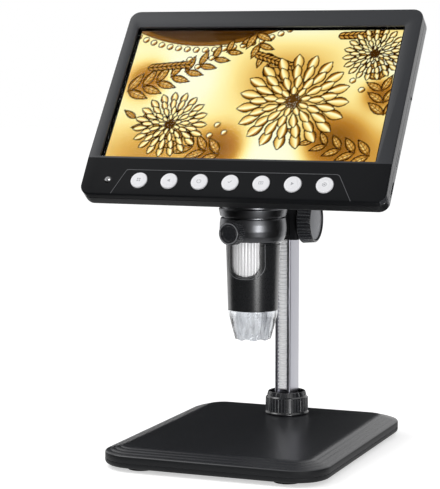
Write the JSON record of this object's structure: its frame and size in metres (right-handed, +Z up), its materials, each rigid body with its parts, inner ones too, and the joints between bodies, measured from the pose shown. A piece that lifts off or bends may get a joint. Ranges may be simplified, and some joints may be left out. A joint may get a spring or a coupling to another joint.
{
  "type": "digital microscope with screen",
  "caption": "Desktop digital microscope: tilted screen over a vertical scope on a ring that a rack and pinion lifts along a post, on a weighted flat base.",
  "frame": {"origin": "floor level at the centre of the base's footprint, which is also the centre of the overall bounding box", "axes": "+Z up along the post, the screen faces -Y and leans back, +X to the right of someone facing the screen"},
  "size_m": [0.1744, 0.161, 0.2456],
  "materials": {
    "shell_black": "satin moulded ABS",
    "case_black": "fine-textured moulded ABS",
    "knob_black": "fluted hard plastic",
    "foot_rubber": "matte",
    "post_aluminium": "satin anodised extrusion",
    "rack_nylon": "white moulded nylon",
    "steel": "plated steel",
    "weight_steel": "phosphated steel plate",
    "brass": "turned brass",
    "knob_disc": "satin disc",
    "focus_chrome": "polished chrome plate",
    "nose_clear": "clear polycarbonate",
    "lens_glass": "coated glass",
    "screen_cover": "clear cover sheet",
    "panel": "liquid crystal module",
    "circuit_green": "solder-masked laminate",
    "chip_black": "moulded packages",
    "led_white": "white lamp caps",
    "cell_silver": "wrapped pouch cell",
    "key_white": "satin white caps",
    "eye_dark": "dark infra-red window",
    "pad_nylon": "natural nylon",
    "flex_amber": "flat flexible cable"
  },
  "bodies": {
    "stand": {"base_top_cover": "shell_black", "base_bottom_cover": "case_black", "base_weight_plate": "weight_steel", "base_feet": "foot_rubber", "base_screws": "steel", "post": "post_aluminium", "post_rack": "rack_nylon", "post_top_cap": "knob_black", "post_socket": "case_black", "post_bolt": "steel"},
    "post_collar": {"post_lock_collar": "knob_black"},
    "carriage": {"carriage_frame": "shell_black", "carriage_back_cover": "case_black", "carriage_screws": "steel", "carriage_glides": "pad_nylon", "friction_shoe": "pad_nylon", "friction_screws": "steel", "clamp_insert": "brass"},
    "lift_drive": {"drive_shaft": "steel", "pinion": "brass", "lift_knob": "knob_black", "knob_face_disc": "knob_disc", "shaft_clip": "steel"},
    "clamp_tip": {"clamp_pad": "pad_nylon"},
    "clamp_screw": {"clamp_stud": "steel", "clamp_knob": "knob_black"},
    "head": {"neck_housing": "shell_black", "barrel_screws": "steel", "scope_barrel": "shell_black", "guide_sleeve": "case_black", "image_sensor_board": "circuit_green", "camera_flex": "flex_amber", "led_board": "circuit_green", "led_lamps": "led_white", "nose_cone": "nose_clear", "front_bezel": "case_black", "rear_cover": "case_black", "screen_glass": "screen_cover", "lcd_panel": "panel", "main_board": "circuit_green", "board_chips": "chip_black", "battery_pack": "cell_silver", "button_board": "circuit_green", "tact_switches": "chip_black", "ir_window": "eye_dark", "ir_receiver": "chip_black", "usb_port": "steel", "card_slot": "steel", "housing_screws": "steel"},
    "focus_ring": {"focus_wheel": "focus_chrome"},
    "lens_tube": {"lens_carrier": "case_black", "objective_lenses": "lens_glass"},
    "key_1": {"button_1": "key_white"},
    "key_2": {"button_2": "key_white"},
    "key_3": {"button_3": "key_white"},
    "key_4": {"button_4": "key_white"},
    "key_5": {"button_5": "key_white"},
    "key_6": {"button_6": "key_white"},
    "key_7": {"button_7": "key_white"}
  },
  "joints": [
    {"name": "carriage_lift", "type": "slide", "parent": "stand", "child": "carriage", "axis": [0, 0, 1], "range_m": [-0.045, 0.04]},
    {"name": "head_swivel", "type": "hinge", "parent": "carriage", "child": "head", "pos_m": [0, -0.0073, 0.1248], "axis": [0, 0, 1], "range_deg": [-15, 15]},
    {"name": "lift_turn", "type": "hinge", "parent": "carriage", "child": "lift_drive", "pos_m": [0, 0.03678, 0.1269], "axis": [1, 0, 0], "range_deg": [-410, 461]},
    {"name": "focus_turn", "type": "hinge", "parent": "head", "child": "focus_ring", "pos_m": [0, -0.0073, 0.11], "axis": [0, 0, 1], "range_deg": [-150, 150]},
    {"name": "focus_travel", "type": "slide", "parent": "head", "child": "lens_tube", "axis": [0, 0, 1], "range_m": [-0.004, 0.004]},
    {"name": "collar_turn", "type": "hinge", "parent": "stand", "child": "post_collar", "pos_m": [0, 0.0497, 0.018], "axis": [0, 0, 1], "range_deg": [0, 45]},
    {"name": "clamp_travel", "type": "slide", "parent": "carriage", "child": "clamp_tip", "axis": [-0.1564, -0.9877, 0], "range_m": [0, 0.0007]},
    {"name": "clamp_turn", "type": "hinge", "parent": "clamp_tip", "child": "clamp_screw", "pos_m": [-0.00305, -0.02656, 0.1248], "axis": [-0.1564, -0.9877, 0], "range_deg": [0, 360]},
    {"name": "key_1_press", "type": "slide", "parent": "head", "child": "key_1", "axis": [0, 0.8028, -0.5962], "range_m": [0, 0.0007], "stiffness_N_per_m": 300, "springref_m": -0.001},
    {"name": "key_2_press", "type": "slide", "parent": "head", "child": "key_2", "axis": [0, 0.8028, -0.5962], "range_m": [0, 0.0007], "stiffness_N_per_m": 300, "springref_m": -0.001},
    {"name": "key_3_press", "type": "slide", "parent": "head", "child": "key_3", "axis": [0, 0.8028, -0.5962], "range_m": [0, 0.0007], "stiffness_N_per_m": 300, "springref_m": -0.001},
    {"name": "key_4_press", "type": "slide", "parent": "head", "child": "key_4", "axis": [0, 0.8028, -0.5962], "range_m": [0, 0.0007], "stiffness_N_per_m": 300, "springref_m": -0.001},
    {"name": "key_5_press", "type": "slide", "parent": "head", "child": "key_5", "axis": [0, 0.8028, -0.5962], "range_m": [0, 0.0007], "stiffness_N_per_m": 300, "springref_m": -0.001},
    {"name": "key_6_press", "type": "slide", "parent": "head", "child": "key_6", "axis": [0, 0.8028, -0.5962], "range_m": [0, 0.0007], "stiffness_N_per_m": 300, "springref_m": -0.001},
    {"name": "key_7_press", "type": "slide", "parent": "head", "child": "key_7", "axis": [0, 0.8028, -0.5962], "range_m": [0, 0.0007], "stiffness_N_per_m": 300, "springref_m": -0.001}
  ],
  "couplings": [
    {"joint": "lift_turn", "follows": "carriage_lift", "rad_per_m": -178.57},
    {"joint": "focus_turn", "follows": "focus_travel", "rad_per_m": 654.5},
    {"joint": "clamp_turn", "follows": "clamp_travel", "rad_per_m": 8976}
  ]
}
